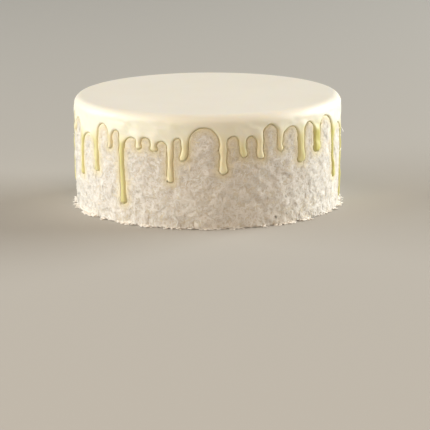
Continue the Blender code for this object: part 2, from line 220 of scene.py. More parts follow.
def arch_and_run(run, side):
    """The reach and the height of an arch, and the depths where the straight of its run starts and ends."""
    top_bearing, top_depth = run["arches"][side]
    end = run["tip"] - run["half"] * run["swell"] * BAND_RADIUS
    reach = abs(top_bearing - run["bearing"]) - run["half"]
    height = min(ARCH_STEEPNESS * reach * BAND_RADIUS, ARCH_SHARE_OF_RUN * (end - top_depth))
    return reach, height, top_depth + height, end


def run_side(run, side, depth):
    """The (bearing, depth) points of one side of a run at these depths.

    Arch: offset = half + reach (1 - sin a), where cos a = 1 - (depth - top) / height. Straight: half (1 -
    waist sin(pi s) + (swell - 1) s^4). Tip: a quarter circle of the swollen half width. The middle line moves
    by lean w^2 + wander w sin(5 w + its own phase), where w is the way from the arch to the tip, from 0 to 1,
    and the width by a share of 7% w sin(9 w + another phase)."""
    reach, height, start, end = arch_and_run(run, side)
    half = run["half"]
    turn = np.arccos(np.clip(1 - (depth - run["arches"][side][1]) / height, 0, 1))
    s = np.clip((depth - start) / (end - start), 0, 1)
    drop = np.clip((depth - end) / (run["tip"] - end), 0, 1)
    arch = half + reach * (1 - np.sin(turn))
    straight = half * (1 - WAIST * np.sin(math.pi * s) + (run["swell"] - 1) * s**DROP_POWER)
    tip = half * run["swell"] * np.sqrt(1 - drop**2)
    offset = np.where(depth < start, arch, np.where(depth < end, straight, tip))
    way = np.clip((depth - start) / (run["tip"] - start), 0, 1)
    aside = np.sin(WANDER_RATE * way + WANDER_PHASE * run["bearing"])
    wider = np.sin(WIDTH_RATE * way + WIDTH_PHASE * run["bearing"])
    middle = run["lean"] * way**2 + WANDER / BAND_RADIUS * aside * way
    offset = offset * (1 + WIDTH_CHANGE * wider * way)
    return np.stack([run["bearing"] + middle + (2 * side - 1) * offset, depth], axis=-1)


def ragged(points):
    """The same points, pushed about by the coat under them.

    The push starts at a depth of 5 mm and is full, up to 0.45 mm each way, from 9 mm on."""
    bearing, depth = points[..., 0], points[..., 1]
    amount = RAGGED * np.clip((depth - RAGGED_START) / RAGGED_FADE, 0, 1)
    aside, down = (lumps(bearing, CAKE_HEIGHT - depth, RAGGED_CELL, seed) for seed in RAGGED_SEEDS)
    return np.stack([bearing + amount * (aside / BAND_RADIUS), depth + amount * down], axis=-1)


# %% [markdown]
# ## Rows for the whole run
#
# The surface needs the edge in rows, each with one point on the left and one on the right. The rows are
# level beside the arches. Rows that follow two uneven arches would fold over each other, and a fold shows
# as a thin dark line in the glaze.

# %% Rows from the rim to the tip
def top_row(run, side):
    """The number of the level row that is nearest to the top of an arch."""
    return round((run["arches"][side][1] - RIM_ROUNDING) / LEVEL_STEP)


def both_sides(run):
    """The points of a run's left and right side, row by row.

    The rows are level, one every 0.3 mm, down to where both arches have ended. Then come those of the
    straight and of the tip. Only the row nearest to the top of an arch is moved, to that top."""
    start = max(arch_and_run(run, side)[2] for side in (0, 1))
    end = arch_and_run(run, 0)[3]
    levels = np.arange(RIM_ROUNDING, start - LEVEL_STEP / 2, LEVEL_STEP)
    straight = np.linspace(start, end, LENGTH_STEPS, endpoint=False)
    tip = end + (run["tip"] - end) * np.sin(np.linspace(0, math.pi / 2, TIP_STEPS + 1))
    sides = []
    for side in (0, 1):
        depth = np.concatenate([levels, straight, tip])
        depth[top_row(run, side)] = run["arches"][side][1]
        sides.append(run_side(run, side, depth))
    return sides


def edge_of(run):
    """The edge of the glaze from the top of one arch round the tip to the top of the next."""
    left, right = both_sides(run)
    return ragged(np.concatenate([left[top_row(run, 0) :], right[top_row(run, 1) :][-2::-1]]))


EDGES = [edge_of(run) for run in RUNS]
print("edge points of all runs:", sum(len(edge) for edge in EDGES))

# %% [markdown]
# ## How far a point is from that edge
#
# Nearly all that follows depends on one number: the distance to the glaze's edge. The glaze is full away
# from it and rounds off to nothing at it, and the coconut stays out from under it. Only the nearest runs
# matter, so each stretch of the cake is measured against its own run and the two beside it.

# %% Distance to the edge, run by run
TINY = 1e-18


def nearby_edge(index):
    """The edges of a run and of its two neighbours, as flat line segments (start, way) in metres."""
    starts, ways = [], []
    for step in (-1, 0, 1):
        turn = 2 * math.pi * ((index + step) // len(RUNS))
        flat = (EDGES[(index + step) % len(RUNS)] + [turn, 0.0]) * [BAND_RADIUS, 1.0]
        starts.append(flat[:-1])
        ways.append(flat[1:] - flat[:-1])
    return np.concatenate(starts), np.concatenate(ways)


def edge_distance(points, index):
    """The least distance from each (bearing, depth) point to the segments near run `index`."""
    start, way = nearby_edge(index)
    flat = (points * [BAND_RADIUS, 1.0]).reshape(-1, 1, 2)
    length = np.maximum((way**2).sum(axis=1), TINY)
    share = np.clip(((flat - start) * way).sum(axis=2) / length, 0, 1)
    near = start + share[..., None] * way
    return np.sqrt(((flat - near) ** 2).sum(axis=2)).min(axis=1).reshape(points.shape[:-1])


def inside_glaze(points, index):
    """True where a line straight down from a point crosses the edges near its run an odd number of times."""
    start, way = nearby_edge(index)
    flat = (points * [BAND_RADIUS, 1.0]).reshape(-1, 2)
    spans = (start[:, 0] > flat[:, :1]) != (start[:, 0] + way[:, 0] > flat[:, :1])
    slope = way[:, 1] / np.where(way[:, 0] == 0, TINY, way[:, 0])
    depth = start[:, 1] + (flat[:, :1] - start[:, 0]) * slope
    return ((spans & (depth > flat[:, 1:])).sum(axis=1) % 2 == 1).reshape(points.shape[:-1])


# %% A map of that distance, for the coconut
MAP_COLUMNS, MAP_STEP = 1440, 0.5 * MM
FIRST_BEARING = RUNS[0]["arches"][0][0]


def distance_map():
    """Distance outside the glaze on a wrapped grid of (depth, bearing), negative under the glaze."""
    columns = FIRST_BEARING + 2 * math.pi * np.arange(MAP_COLUMNS) / MAP_COLUMNS
    depths = np.arange(0, CAKE_HEIGHT + MAP_STEP, MAP_STEP)
    found = np.empty((len(depths), MAP_COLUMNS))
    for index, run in enumerate(RUNS):
        low, high = run["arches"][0][0], run["arches"][1][0]
        mine = (columns >= low) & (columns < high)
        points = np.stack(np.meshgrid(columns[mine], depths), axis=-1)
        sign = np.where(inside_glaze(points, index), -1, 1)
        found[:, mine] = sign * edge_distance(points, index)
    return found


OUTSIDE_MAP = distance_map()


def outside_glaze(bearing, depth):
    """The map read between its points, by bilinear interpolation that wraps round the cake."""
    x = np.mod(bearing - FIRST_BEARING, 2 * math.pi) / (2 * math.pi) * MAP_COLUMNS
    y = np.clip(depth / MAP_STEP, 0, len(OUTSIDE_MAP) - LAST_CELL)
    x0, y0 = np.floor(x).astype(int), np.floor(y).astype(int)
    fx, fy = x - x0, y - y0
    x0, x1 = x0 % MAP_COLUMNS, (x0 + 1) % MAP_COLUMNS
    above = OUTSIDE_MAP[y0, x0] * (1 - fx) + OUTSIDE_MAP[y0, x1] * fx
    below = OUTSIDE_MAP[y0 + 1, x0] * (1 - fx) + OUTSIDE_MAP[y0 + 1, x1] * fx
    return above * (1 - fy) + below * fy


below_rim = OUTSIDE_MAP[round(RIM_ROUNDING / MAP_STEP) :]
print("share of the side under glaze:", round(float((below_rim < 0).mean()), 2))

# %% [markdown]
# ## From the label to a mesh
#
# Two tools turn numbers into a surface. The first wraps a point of the label round the cake, at any
# distance from the rim's centre line. The second hands whole arrays to Blender at once, which is much
# quicker than point by point.

# %% From a flat label to the round cake
def foot_tuck(height):
    """How far the side draws in towards its foot: tuck (1 - height / tuck height)^2, none above."""
    return FOOT_TUCK * np.clip(1 - height / TUCK_HEIGHT, 0, 1) ** 2


def skin(bearing, depth, rounding):
    """Points at (bearing, depth) on the skin that lies `rounding` outside the rim's centre line.

    Below the rim: radius = centre + rounding - tuck, height = cake - depth. Round the rim: an angle of
    (rim - depth) / rim above level. Past the rim: level, and inwards by what is left."""
    turn = np.clip((RIM_ROUNDING - depth) / RIM_ROUNDING, 0, math.pi / 2)
    inwards = np.maximum(TOP_DEPTH - depth, 0)
    below = np.maximum(depth - RIM_ROUNDING, 0)
    height = RIM_CENTRE_HEIGHT + rounding * np.sin(turn) - below
    radius = RIM_CENTRE_RADIUS + rounding * np.cos(turn) - inwards - foot_tuck(height)
    return np.stack([radius * np.sin(bearing), -radius * np.cos(bearing), height], axis=-1)


# %% Numbers into a mesh
def piece(name, points, quads, triangles=(), smooth=True, **values):
    """A mesh object at the origin from whole arrays, with any values given for each point."""
    mesh = bpy.data.meshes.new(name)
    quads, triangles = np.asarray(quads).reshape(-1, 4), np.asarray(triangles, int).reshape(-1, 3)
    corners = np.concatenate([quads.ravel(), triangles.ravel()])
    sizes = np.concatenate([np.full(len(quads), 4), np.full(len(triangles), 3)])
    starts = np.concatenate([[0], np.cumsum(sizes)[:-1]])
    mesh.vertices.add(len(points))
    mesh.vertices.foreach_set("co", np.asarray(points, np.float32).ravel())
    mesh.loops.add(len(corners))
    mesh.loops.foreach_set("vertex_index", corners.astype(np.int32))
    mesh.polygons.add(len(sizes))
    mesh.polygons.foreach_set("loop_start", starts.astype(np.int32))
    mesh.update(calc_edges=True)
    if smooth:
        mesh.shade_smooth()
    for key, value in values.items():
        layer = mesh.attributes.new(key, "FLOAT", "POINT")
        layer.data.foreach_set("value", np.asarray(value, np.float32).ravel())
    obj = bpy.data.objects.new(name, mesh)
    bpy.context.scene.collection.objects.link(obj)
    print(name, "has", int(2 * len(quads) + len(triangles)), "triangles")
    return obj


def grid_quads(rows, columns):
    """Corners of the quads of a grid whose points are numbered row by row, going down and then right."""
    at = np.arange(rows * columns).reshape(rows, columns)
    return np.stack([at[:-1, :-1], at[1:, :-1], at[1:, 1:], at[:-1, 1:]], axis=-1).reshape(-1, 4)


# %% [markdown]
# ## The poured glaze
#
# The glaze is one thin sheet with two skins. Each run has its own patch of grid, from the middle of the
# top, over the rim, down the band and along the run to its tip. Its rows are level and go from the run's
# left edge to its right edge, so the drip's outline is exact. Its columns crowd towards the edges, where
# the surface turns fastest. The front skin is the back one lifted by a thickness: a quarter ellipse of
# the distance to the edge, which is the round section that a liquid takes as it sets.

# %% The rows of one patch
FRONT_COLUMNS, BACK_COLUMNS = 17, 4
FRONT_RIM_STEPS, BACK_RIM_STEPS = 12, 3
RING_SHARES = np.array([1.0, 0.95, 0.85, 0.7, 0.55, 0.4, 0.27, 0.16, 0.08, 0.03])

ACROSS = (1 - np.cos(np.linspace(0, math.pi, FRONT_COLUMNS))) / 2
BACK_ACROSS = np.linspace(0, 1, BACK_COLUMNS)
TOP_RINGS = TOP_DEPTH - RIM_CENTRE_RADIUS * RING_SHARES


def patch(run, across, top, rim_steps):
    """The (bearing, depth) grid of one run: rings of the top, rim, band, and the run itself."""
    left, right = both_sides(run)
    share = across[None, :, None]
    lower = left[:, None, :] * (1 - share) + right[:, None, :] * share
    rim = np.linspace(TOP_DEPTH, RIM_ROUNDING, rim_steps + 1)[:-1]
    level = np.concatenate([top, rim])[:, None] + 0 * across
    upper = np.stack(np.broadcast_arrays(lower[0, :, 0], level), axis=-1)
    return ragged(np.concatenate([upper, lower]))


# %% [markdown]
# ### Its relief
#
# Glaze levels itself, but it sets before it is done. Slow waves of 24 mm are left in the sheet, a ridge
# stands above each run, where the glaze gathered on its way down, and on the side the coat under it shows
# through as low lumps of 6 mm. All of it is a few tenths of a millimetre, which only a soft light shows.

# %% How the surface waves
# Heights are in millimetres.
SHEET_WAVE, RIDGE, COAT_WAVE, TOP_SETTLING = 0.16, 0.3, 0.4, 0.05
SHEET_CELL, SHEET_SEED = 24 * MM, 5
COAT_CELL, COAT_SEED, COAT_SLANT = 6 * MM, 7, 0.5
COAT_START, COAT_FADE = 4 * MM, 5 * MM
RIDGE_WIDTH, RIDGE_START, RIDGE_FADE = 5 * MM, 3 * MM, 12 * MM
TOP_FADE = 15 * MM


def swelling(points):
    """A soft ridge in the band above each run, from 0 to 1.

    One run gives exp(-(off / 5 mm)^2), and together they give 1 - the product of what each leaves."""
    bearing, depth = points[..., 0], points[..., 1]
    left = 1 + 0 * bearing
    for run in RUNS:
        off = np.mod(bearing - run["bearing"] + math.pi, 2 * math.pi) - math.pi
        left = left * (1 - np.exp(-((off * BAND_RADIUS / RIDGE_WIDTH) ** 2)))
    return (1 - left) * np.clip((depth - RIDGE_START) / RIDGE_FADE, 0, 1)


def side_wave(points):
    """Relief of the rim, the band and the runs, in millimetres, faded in from the level top."""
    bearing, depth = points[..., 0], points[..., 1]
    height = CAKE_HEIGHT - depth
    coat = COAT_WAVE * lumps(bearing, height, COAT_CELL, COAT_SEED, COAT_SLANT)
    coat = coat * np.clip((depth - COAT_START) / COAT_FADE, 0, 1)
    wave = SHEET_WAVE * lumps(bearing, height, SHEET_CELL, SHEET_SEED) + RIDGE * swelling(points) + coat
    return wave * np.clip((depth - TOP_DEPTH) / RIM_ROUNDING, 0, 1)


def top_wave(surface, depth):
    """Relief of the level top, in millimetres: crossed sines that fade out at the rim, less a settling."""
    x, y = surface[..., 0], surface[..., 1]
    wave = 0.12 * np.sin(41 * x + 9) * np.sin(53 * y + 2) + 0.08 * np.sin(77 * x - 60 * y)
    return wave * np.clip((TOP_DEPTH - depth) / TOP_FADE, 0, 1) - TOP_SETTLING


# %% How thick the glaze is
def below_arches(points, run):
    """How far each point is below the line between the tops of its run's two arches, in metres."""
    return points[..., 1] - np.interp(points[..., 0], *zip(*run["arches"]))


def front_skin(points, index):
    """The back skin lifted by full sqrt(1 - (1 - away)^2), where away is the edge distance over the rounding.

    Full grows from the sheet's thickness to the run's below the arches, and to the drop's near the tip."""
    bearing, depth = points[..., 0], points[..., 1]
    below = np.clip(below_arches(points, RUNS[index]) / RIM_ROUNDING, 0, 1)
    drop = np.clip(1 - (RUNS[index]["tip"] - depth) / (3 * RIM_ROUNDING), 0, 1)
    full = GLAZE_THICKNESS + (RUN_THICKNESS - GLAZE_THICKNESS) * below
    full = full + (TIP_THICKNESS - RUN_THICKNESS) * drop * below
    away = np.clip(edge_distance(points, index) / EDGE_ROUNDING, 0, 1)
    thickness = full * np.sqrt(1 - (1 - away) ** 2)
    back = skin(bearing, depth, GLAZE_BACK)
    front = skin(bearing, depth, RIM_ROUNDING)
    outwards = (front - back) / GLAZE_THICKNESS
    wave = np.where(depth < TOP_DEPTH, top_wave(front, depth), side_wave(points) * away)
    return back + outwards * (thickness + wave * MM)[..., None]


# %% Where the lemon shows
# Partly painted shade: the shown runs that face the side lights are given more of the darker olive yellow.
FRONT_LEMON_AND_SHADE = (0.1, 0.8, 0.65, 0.1, 0.75, 0.2, 0.4, 0.15, 0.3, 0.1, 0.45, 0.1, 0.2, 0.6, 1.0, 1.0, 0.9)
LEMON_SEED, BACK_LEMON = 43, (0.1, 1.0)


def lemon_share(bearing):
    """How clear and yellow the glaze is, from 0 to 1, on the shown side partly painted shade: one value for
    each run, and an even blend between.
    """
    chance = np.random.default_rng(LEMON_SEED)
    back = chance.uniform(*BACK_LEMON, len(RUNS) - len(FRONT_LEMON_AND_SHADE))
    return np.interp(
        bearing, [run["bearing"] for run in RUNS], np.append(FRONT_LEMON_AND_SHADE, back), period=2 * math.pi
    )


# %% What the finish needs to know
LIP_WIDTH = 1.3 * MM
RUNOFF_START, RUNOFF_FADE = 1 * MM, 10 * MM


def colour_values(points, index):
    """Four values from 0 to 1 for each point, which the finish turns into colour.

    Runoff: how far the glaze has run below its arches. Edge: how near its lip is, which the finish uses for
    painted shade at the lips of the arches and a painted highlight on the flanks of the runs. Lemon: how
    clear and yellow the run is, partly painted shade. Wall: how far the surface has turned from the level top
    to the upright side, which the finish uses to paint the top darker, as painted shade."""
    depth = points[..., 1]
    near = np.clip(1 - edge_distance(points, index) / LIP_WIDTH, 0, 1)
    return {
        "runoff": np.clip((below_arches(points, RUNS[index]) + RUNOFF_START) / RUNOFF_FADE, 0, 1),
        "edge": near * (depth > RIM_ROUNDING),
        "lemon": lemon_share(points[..., 0]),
        "wall": np.clip((depth - TOP_DEPTH) / (2 * RIM_ROUNDING), 0, 1),
    }


# %% Pour it
WELD_DISTANCE = 0.004 * MM


def pour():
    """Front and back patches of all runs, welded where they meet and closed all round."""
    points, quads, values = [], [], []
    count = 0
    for index, run in enumerate(RUNS):
        front = patch(run, ACROSS, TOP_RINGS, FRONT_RIM_STEPS)
        back = patch(run, BACK_ACROSS, TOP_RINGS[:1], BACK_RIM_STEPS)
        for flat, surface in (
            (front, front_skin(front, index)),
            (back, skin(back[..., 0], back[..., 1], GLAZE_BACK)),
        ):
            points.append(surface.reshape(-1, 3))
            quads.append(grid_quads(*flat.shape[:2]) + count)
            values.append(colour_values(flat, index))
            count += flat.shape[0] * flat.shape[1]
    joined = {key: np.concatenate([value[key].ravel() for value in values]) for key in values[0]}
    obj = piece("poured_glaze", np.concatenate(points), np.concatenate(quads), **joined)
    bm = bmesh.new()
    bm.from_mesh(obj.data)
    bmesh.ops.remove_doubles(bm, verts=bm.verts, dist=WELD_DISTANCE)
    bmesh.ops.recalc_face_normals(bm, faces=bm.faces)
    print("open edges in the glaze:", sum(len(edge.link_faces) != 2 for edge in bm.edges))
    bm.to_mesh(obj.data)
    bm.free()
    return obj


poured_glaze = pour()

# %% [markdown]
# ## The cream under the coconut
#
# Cream is spread over the baked layers, and coconut is pressed into it by the handful. The hand leaves it
# in clumps, a few millimetres across, with small hollows between. This ground is one closed surface: a
# fine grid round the side, whose relief is a sum of lumps from 18 mm down to 1 mm. It stays low under the
# glaze and rises beside it, so that each drip lies bedded in the coat.

# %% How far the ground stands out
CORE_RADIUS, GROUND_INSET = 99.0 * MM, 0.15 * MM
# Cell, seed and slant of each lattice of lumps.
CLUMPS = ((5 * MM, 11, 0.35), (5.6 * MM, 15, -0.3))
CRUMBS, WAVINESS, WAVINESS_TURN = (2.6 * MM, 16, 0.2), (18 * MM, 12, 0.0), 0.4
CLUMP_SHARE, CRUMB_SHARE, WAVINESS_SHARE = 0.45, 0.18, 0.3
# These three heights are in millimetres.
COAT_HEIGHT, COAT_FULLER, CLUMP_HEIGHT = 2.0, 0.15, 0.7
CLUMPS_BESIDE_GLAZE, FREE_DISTANCE = 0.2, 7 * MM
UNDER_LIP, RISE_WIDTH = 0.5 * MM, 0.8 * MM
SOAKED_DISTANCE = 5 * MM


def clumps(bearing, height):
    """The relief of the coat, about -1 to 1: crossed clumps, crumbs and a slow waviness."""
    crossed = sum(lumps(bearing, height, *lattice) for lattice in CLUMPS)
    crumbs = lumps(bearing, height, *CRUMBS)
    waviness = lumps(bearing + WAVINESS_TURN, height, *WAVINESS)
    return CLUMP_SHARE * crossed + CRUMB_SHARE * crumbs + WAVINESS_SHARE * waviness


def coat_rise(bearing, height):
    """How far the coat stands out: 2 mm beside the glaze, and a little more where its clumps are full."""
    free = np.clip(outside_glaze(bearing, CAKE_HEIGHT - height) / FREE_DISTANCE, 0, 1)
    fullness = CLUMPS_BESIDE_GLAZE + (1 - CLUMPS_BESIDE_GLAZE) * free
    return (COAT_HEIGHT + COAT_FULLER * free + CLUMP_HEIGHT * fullness * clumps(bearing, height)) * MM


def ground_level(bearing, height):
    """Radius of the coat's ground: its rise, which ends under the glaze, less its tuck at the foot."""
    outside = outside_glaze(bearing, CAKE_HEIGHT - height)
    beside = np.clip((outside + UNDER_LIP) / RISE_WIDTH, 0, 1)
    return CORE_RADIUS - GROUND_INSET - foot_tuck(height) + beside * coat_rise(bearing, height)


def soaked_share(outside):
    """How much glaze the coat has drawn in, from 1 at the glaze to 0 at 5 mm from it."""
    return np.clip(1 - outside / SOAKED_DISTANCE, 0, 1)


# %% Spread it
GROUND_COLUMNS, GROUND_ROWS, RIM_RINGS = 720, 96, 3
# Height in millimetres, size in millimetres and seed of each fine relief.
FINE_RELIEF = ((0.12, 2.2, 13), (0.06, 1.1, 14))
BARE_DISTANCE, CLEAR_OF_GLAZE = 1.5 * MM, 0.45 * MM
FOOT_CHAMFER, CHAMFER_HEIGHT = 1.3 * MM, 1.6 * MM


def side_radius(bearing, height):
    """The ground's radius with its fine relief, which fades out at the glaze, and with a chamfered foot."""
    fine = sum(rise * lumps(bearing, height, cell * MM, seed) for rise, cell, seed in FINE_RELIEF)
    bare = np.clip(outside_glaze(bearing, CAKE_HEIGHT - height) / BARE_DISTANCE, 0, 1)
    chamfer = FOOT_CHAMFER * np.clip(1 - height / CHAMFER_HEIGHT, 0, 1)
    return ground_level(bearing, height) + fine * bare * MM - chamfer


def side_faces(rows):
    """Quads round the side, and two fans of triangles that close it at the foot's middle and at the top's."""
    at = np.arange(rows * GROUND_COLUMNS).reshape(rows, GROUND_COLUMNS)
    right = np.roll(at, -1, axis=1)
    quads = np.stack([at[:-1], right[:-1], right[1:], at[1:]], axis=-1).reshape(-1, 4)
    foot, top = (np.full(GROUND_COLUMNS, at.size + k) for k in (0, 1))
    fans = [np.stack([foot, right[0], at[0]], axis=-1), np.stack([top, at[-1], right[-1]], axis=-1)]
    return quads, np.concatenate(fans)


def spread_cream():
    """Rings from the foot's middle out to the side, up it, and in to the middle under the glaze."""
    bearing = 2 * math.pi * np.arange(GROUND_COLUMNS) / GROUND_COLUMNS
    height = np.linspace(0, RIM_CENTRE_HEIGHT, GROUND_ROWS)[:, None] + 0 * bearing
    radius = side_radius(bearing, height)
    turns = np.linspace(0, math.pi / 2, RIM_RINGS + 1)[1:, None]
    inner = GLAZE_BACK - CLEAR_OF_GLAZE
    top_radius = RIM_CENTRE_RADIUS + inner * np.cos(turns) + 0 * bearing
    top_height = RIM_CENTRE_HEIGHT + inner * np.sin(turns) + 0 * bearing
    radius, height = np.concatenate([radius, top_radius]), np.concatenate([height, top_height])
    side = np.stack([radius * np.sin(bearing), -radius * np.cos(bearing), height], axis=-1)
    quads, caps = side_faces(len(side))
    points = np.concatenate([side.reshape(-1, 3), [[0, 0, 0], [0, 0, height.max()]]])
    # Painted shade: the lower the coat's relief here, the darker the cream is painted.
    hollow_shade = np.clip(0.5 - 0.5 * clumps(bearing, height), 0, 1)
    soaked = soaked_share(outside_glaze(bearing, CAKE_HEIGHT - height))
    values = {"hollow_shade": np.append(hollow_shade.ravel(), [1, 1]), "soaked": np.append(soaked.ravel(), [0, 0])}
    return piece("coconut_ground", points, quads, caps, **values)


coconut_ground = spread_cream()

# %% [markdown]
# ## The shreds
#
# Desiccated coconut is grated, so every shred is a thin curved strip with blunt ends, 1 to 8 mm long and
# about 1 mm wide, among flat chips that are a little wider. There are tens of thousands, so each has only
# a few faces. They are made flat, all at once, in the label's own coordinates: where along it, how far
# up, and how far out. The same step that wraps the label round the cake then bends every shred to the
# side and lays it on the clumps.

# %% One sliver, many times
BLUNT_END, END_NARROWING, UNEVEN_WIDTHS = 0.46, 0.5, (0.6, 1.2)
HOOK, CURL = 0.09, 0.03
WHOLE_TWIST, TWIST_ALONG = 0.15, 0.4


def slivers(middle, lean, length, width, thickness, bend, tilt, rings, chance):
    """Points (n, 4 rings + 2, 3) of slivers in (along, up, out), in metres.

    Middle line: t length (cos lean, sin lean) + length (bend (4 t^2 - 1/3) + hook (8 t^3 - t)) (-sin lean,
    cos lean), t from -1/2 to 1/2. The hook gives some an S. Out: tilt length t + curl length (4 t^2 - 1/3).
    The section is a flat four-sided strip that keeps much of its width to its blunt ends, and it twists."""
    t = np.concatenate([[-0.5], np.linspace(-BLUNT_END, BLUNT_END, rings), [0.5]])
    cos, sin = np.cos(lean)[:, None], np.sin(lean)[:, None]
    size, curve = length[:, None], (bend * length)[:, None]
    hook = (chance.normal(0, HOOK, len(length)) * length)[:, None]
    curl = (chance.normal(0, CURL, len(length)) * length)[:, None]
    side = curve * (4 * t**2 - 1 / 3) + hook * (8 * t**3 - t)
    along = size * t * cos - side * sin
    up = size * t * sin + side * cos
    out = (tilt * length)[:, None] * t + curl * (4 * t**2 - 1 / 3)
    line = np.stack([along, up, out], axis=-1) + middle[:, None, :]
    slope = curve * 8 * t + hook * (24 * t**2 - 1)
    way_along = size * cos - slope * sin
    way_up = size * sin + slope * cos
    norm = np.sqrt(way_along**2 + way_up**2)
    across = np.stack([-way_up / norm, way_along / norm, 0 * norm], axis=-1)
    uneven = chance.uniform(*UNEVEN_WIDTHS, (len(length), rings + 2))
    taper = (1 - END_NARROWING * np.abs(2 * t) ** 4)[None, :] * uneven
    whole = chance.uniform(-WHOLE_TWIST, WHOLE_TWIST, len(length))[:, None]
    twist = whole + chance.uniform(-TWIST_ALONG, TWIST_ALONG, len(length))[:, None] * t
    corners = []
    for corner in range(4):
        turn = twist + math.pi / 2 * (corner + 0.5)
        wide = (width[:, None] * math.sqrt(0.5) * taper * np.cos(turn))[..., None]
        thick = thickness[:, None] * math.sqrt(0.5) * taper * np.sin(turn)
        corners.append(line + across * wide + np.stack([0 * thick, 0 * thick, thick], axis=-1))
    body = np.stack(corners, axis=2)[:, 1:-1]
    return np.concatenate([body.reshape(len(length), 4 * rings, 3), line[:, [0, -1]]], axis=1)


def sliver_faces(count, rings):
    """Quads between neighbouring rings and four triangles at either point, for `count` slivers."""
    ring = np.arange(4 * rings).reshape(rings, 4)
    beside = np.roll(ring, -1, axis=1)
    quads = np.stack([ring[:-1], beside[:-1], beside[1:], ring[1:]], axis=-1).reshape(-1, 4)
    first, last = 4 * rings, 4 * rings + 1
    ends = [[first, b, a] for a, b in zip(ring[0], beside[0])]
    ends += [[last, a, b] for a, b in zip(ring[-1], beside[-1])]
    step = (4 * rings + 2) * np.arange(count)[:, None, None]
    return (quads + step).reshape(-1, 4), (np.array(ends) + step).reshape(-1, 3)


# %% How light falls on a coat of them
SOFTNESS = 0.85
SLOPE_STEP = 1.2 * MM


def soften(mesh, bearing, height):
    """Turns the shading of each point towards the ground under it, as light that enters a shred spreads.

    Ground normal = outwards - slope along the side - slope up it, each slope taken 1.2 mm either way. The
    point's own normal n becomes softness times the ground's plus (1 - softness) n."""
    step = SLOPE_STEP / BAND_RADIUS
    round_it = coat_rise(bearing + step, height) - coat_rise(bearing - step, height)
    up_it = coat_rise(bearing, height + SLOPE_STEP) - coat_rise(bearing, height - SLOPE_STEP)
    sin, cos, nil = np.sin(bearing), np.cos(bearing), 0 * bearing
    outwards, level = np.stack([sin, -cos, nil], axis=-1), np.stack([cos, sin, nil], axis=-1)
    slopes = (round_it[..., None] * level + up_it[..., None] * np.array([0, 0, 1])) / (2 * SLOPE_STEP)
    ground = outwards - slopes
    ground = (ground / np.linalg.norm(ground, axis=-1, keepdims=True)).reshape(-1, 3)
    own = np.empty(3 * len(mesh.vertices), np.float32)
    mesh.vertex_normals.foreach_get("vector", own)
    mesh.normals_split_custom_set_from_vertices(SOFTNESS * ground + (1 - SOFTNESS) * own.reshape(-1, 3))


# %% Press them into the side
LOWEST, BELOW_TOP, CLEAR_OF_FLOOR = 1.0 * MM, 8 * MM, 0.15 * MM
SHRED_CLEARANCE = 0.15 * MM
PLACES_ALONG = np.array([-0.5, -0.25, 0, 0.25, 0.5])
LOOSE_SHARE, LOOSE_TILT, LOOSE_LIFT = 0.06, 0.2, 0.3 * MM
PROUD_SHARE, PROUD_TILTS, PROUD_LIFT = 0.006, (0.3, 0.6), 0.12
LYING_TILT, LYING_OUT, SHRED_BEND = 0.02, (-0.1, 0.05), 0.14
STIFFNESS = 0.35


def free_places(count, lengths, chance):
    """Bearing, height, lean and length of shreds that are clear of the glaze all along, and how clear."""
    tries = 3 * count
    bearing = chance.uniform(0, 2 * math.pi, tries)
    height = chance.uniform(LOWEST, CAKE_HEIGHT - BELOW_TOP, tries)
    lean = chance.uniform(0, math.pi, tries)
    length = chance.uniform(*lengths, tries) * MM
    reach = PLACES_ALONG[:, None] * length
    around, depth = bearing + reach * np.cos(lean) / BAND_RADIUS, CAKE_HEIGHT - height - reach * np.sin(lean)
    clear = outside_glaze(around, depth).min(axis=0)
    keep = np.flatnonzero(clear > SHRED_CLEARANCE)[:count]
    return (value[keep] for value in (bearing, height, lean, length, clear))


def pressed_shreds(name, count, lengths, widths, thicknesses, rings, seed):
    """Shreds spread evenly over the side. Most lie in it, some are loose, and a few stand proud on one end.

    A shred is stiff: its radius is 35% that of the ground under its middle, 65% that under each point."""
    chance = np.random.default_rng(seed)
    bearing, height, lean, length, clear = free_places(count, lengths, chance)
    count = len(bearing)
    width, thickness = (chance.uniform(*sizes, count) * MM for sizes in (widths, thicknesses))
    loose, proud = chance.random(count) < LOOSE_SHARE, chance.random(count) < PROUD_SHARE
    tilt = chance.normal(0, LYING_TILT, count) + loose * chance.uniform(-LOOSE_TILT, LOOSE_TILT, count)
    tilt = np.where(proud, chance.choice([-1, 1], count) * chance.uniform(*PROUD_TILTS, count), tilt)
    out = chance.uniform(*LYING_OUT, count) * MM + loose * LOOSE_LIFT + proud * PROUD_LIFT * length
    middle = np.stack([bearing * BAND_RADIUS, height, out], axis=-1)
    bend = chance.normal(0, SHRED_BEND, count)
    points = slivers(middle, lean, length, width, thickness, bend, tilt, rings, chance)
    around = points[..., 0] / BAND_RADIUS
    up = np.maximum(points[..., 1], CLEAR_OF_FLOOR)
    level = STIFFNESS * ground_level(bearing, height)[:, None] + (1 - STIFFNESS) * ground_level(around, up)
    radius = level + points[..., 2]
    placed = np.stack([radius * np.sin(around), -radius * np.cos(around), up], axis=-1)
    quads, ends = sliver_faces(count, rings)
    tone = np.repeat(chance.random(count), points.shape[1])
    soaked = np.repeat(soaked_share(clear), points.shape[1])
    obj = piece(name, placed.reshape(-1, 3), quads, ends, tone=tone, soaked=soaked)
    soften(obj.data, around, up)
    return obj


